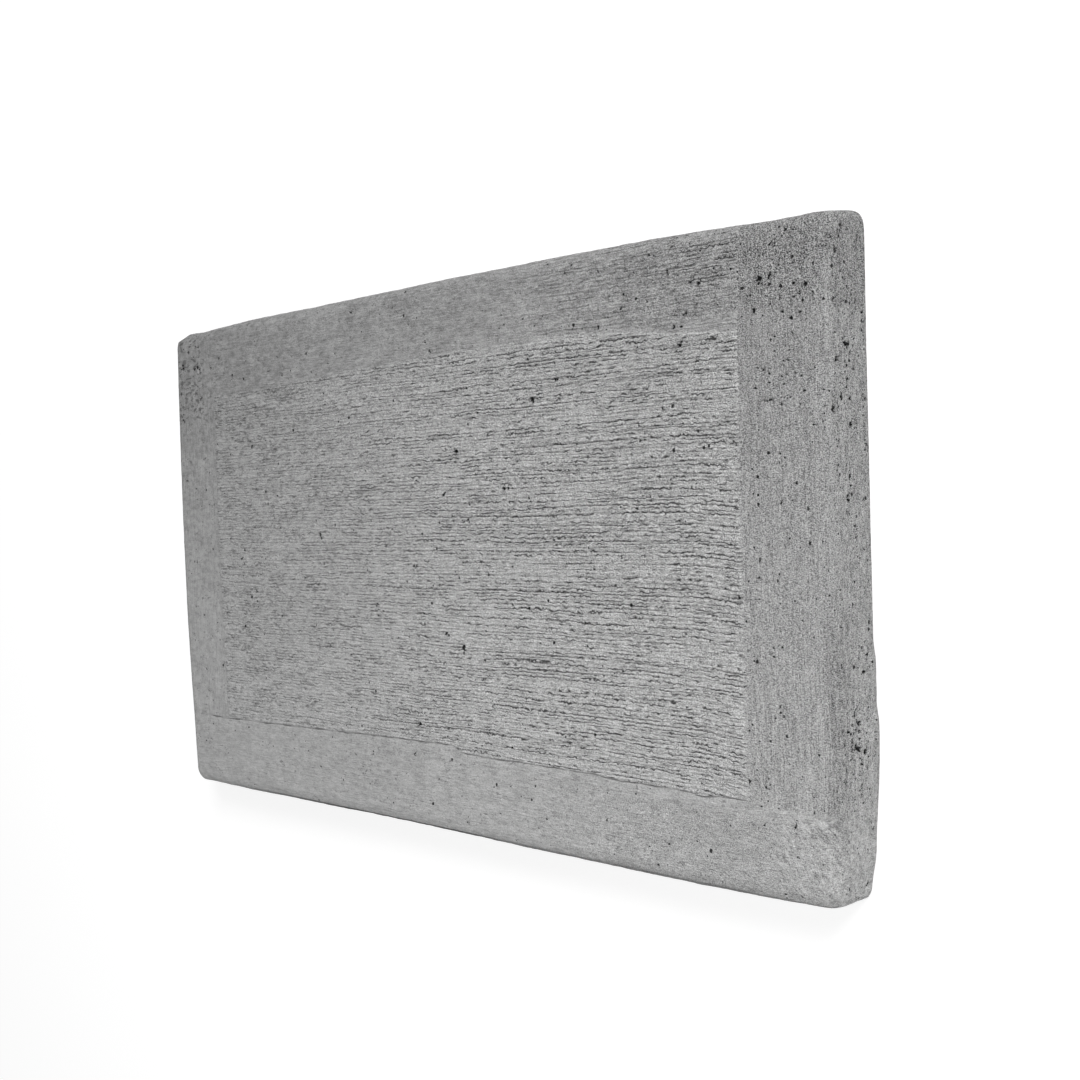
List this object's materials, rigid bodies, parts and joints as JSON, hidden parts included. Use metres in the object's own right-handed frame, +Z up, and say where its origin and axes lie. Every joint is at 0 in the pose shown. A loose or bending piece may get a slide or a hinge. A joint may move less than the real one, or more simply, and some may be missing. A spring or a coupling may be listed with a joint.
{
  "type": "concrete paving slab",
  "caption": "Flat rectangular concrete paving slab with rounded edges and corners, and a broomed panel framed by a smooth trowelled border.",
  "frame": {"origin": "centre of the underside, which lies on the ground", "axes": "+X along the slab's length, +Y across its width, +Z up out of the finished face"},
  "size_m": [0.6, 0.4, 0.04],
  "materials": {
    "concrete": "plain grey concrete, broomed inside a steel-trowelled border, with air holes in the border and on the cast sides"
  },
  "bodies": {
    "root": {"slab": "concrete"}
  },
  "joints": []
}
